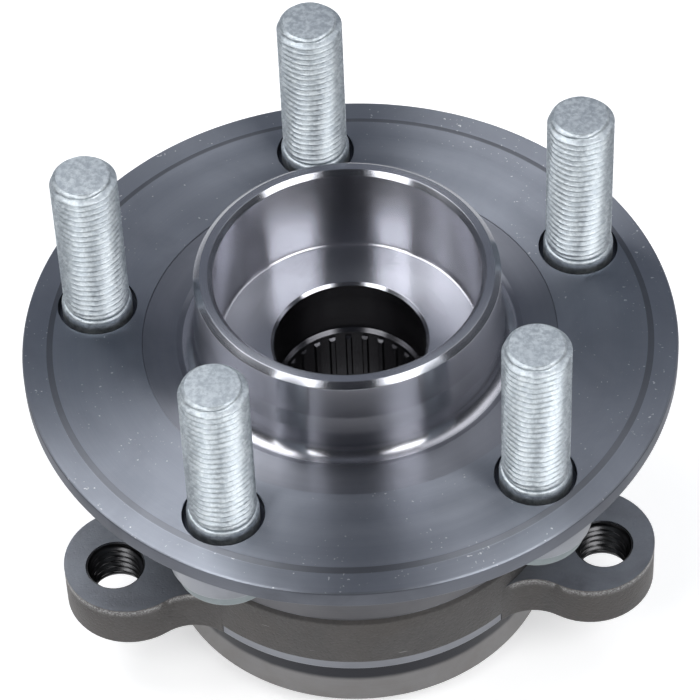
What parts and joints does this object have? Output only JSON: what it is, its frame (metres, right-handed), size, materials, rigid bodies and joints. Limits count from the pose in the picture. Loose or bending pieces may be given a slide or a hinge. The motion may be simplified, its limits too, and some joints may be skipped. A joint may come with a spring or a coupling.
{
  "type": "wheel hub bearing",
  "caption": "Driven wheel hub bearing: studded flange with a stepped pilot and splined bore, turning in an outer ring with threaded ears.",
  "frame": {"origin": "centre of the wheel mounting face, on the axis", "axes": "+Z along the axis, outboard, towards the wheel; +Y towards the third ear, away from the picture's viewer"},
  "size_m": [0.137, 0.137, 0.1148],
  "materials": {
    "spindle_steel": "turned, lightly oiled",
    "forged_ring": "as forged, machined where it seats",
    "bearing_steel": "ground",
    "ball_steel": "polished",
    "stud_zinc": "zinc plated",
    "cage_nylon": "glass-filled, satin",
    "seal_sheet": "pressed sheet",
    "seal_rubber": "moulded",
    "magnet_rubber": "moulded, matt"
  },
  "bodies": {
    "outer_ring": {"outer_ring": "forged_ring", "outboard_seal_case": "seal_sheet", "outboard_seal_lip": "seal_rubber", "inboard_seal_case": "seal_sheet", "inboard_seal_lip": "seal_rubber"},
    "hub": {"hub_spindle": "spindle_steel", "inner_ring": "bearing_steel", "slinger": "seal_sheet", "encoder_ring": "magnet_rubber", "wheel_stud_1": "stud_zinc", "wheel_stud_2": "stud_zinc", "wheel_stud_3": "stud_zinc", "wheel_stud_4": "stud_zinc", "wheel_stud_5": "stud_zinc"},
    "outboard_row": {"outboard_cage": "cage_nylon", "outboard_ball_1": "ball_steel", "outboard_ball_2": "ball_steel", "outboard_ball_3": "ball_steel", "outboard_ball_4": "ball_steel", "outboard_ball_5": "ball_steel", "outboard_ball_6": "ball_steel", "outboard_ball_7": "ball_steel", "outboard_ball_8": "ball_steel", "outboard_ball_9": "ball_steel", "outboard_ball_10": "ball_steel", "outboard_ball_11": "ball_steel", "outboard_ball_12": "ball_steel", "outboard_ball_13": "ball_steel"},
    "inboard_row": {"inboard_cage": "cage_nylon", "inboard_ball_1": "ball_steel", "inboard_ball_2": "ball_steel", "inboard_ball_3": "ball_steel", "inboard_ball_4": "ball_steel", "inboard_ball_5": "ball_steel", "inboard_ball_6": "ball_steel", "inboard_ball_7": "ball_steel", "inboard_ball_8": "ball_steel", "inboard_ball_9": "ball_steel", "inboard_ball_10": "ball_steel", "inboard_ball_11": "ball_steel", "inboard_ball_12": "ball_steel", "inboard_ball_13": "ball_steel"}
  },
  "joints": [
    {"name": "hub_spin", "type": "hinge", "parent": "outer_ring", "child": "hub", "pos_m": [0, 0, 0], "axis": [0, 0, 1], "continuous": true},
    {"name": "outboard_row_spin", "type": "hinge", "parent": "outer_ring", "child": "outboard_row", "pos_m": [0, 0, -0.032], "axis": [0, 0, 1], "continuous": true},
    {"name": "inboard_row_spin", "type": "hinge", "parent": "outer_ring", "child": "inboard_row", "pos_m": [0, 0, -0.058], "axis": [0, 0, 1], "continuous": true}
  ],
  "couplings": [
    {"joint": "outboard_row_spin", "follows": "hub_spin", "ratio": 0.4203},
    {"joint": "inboard_row_spin", "follows": "hub_spin", "ratio": 0.4203}
  ]
}
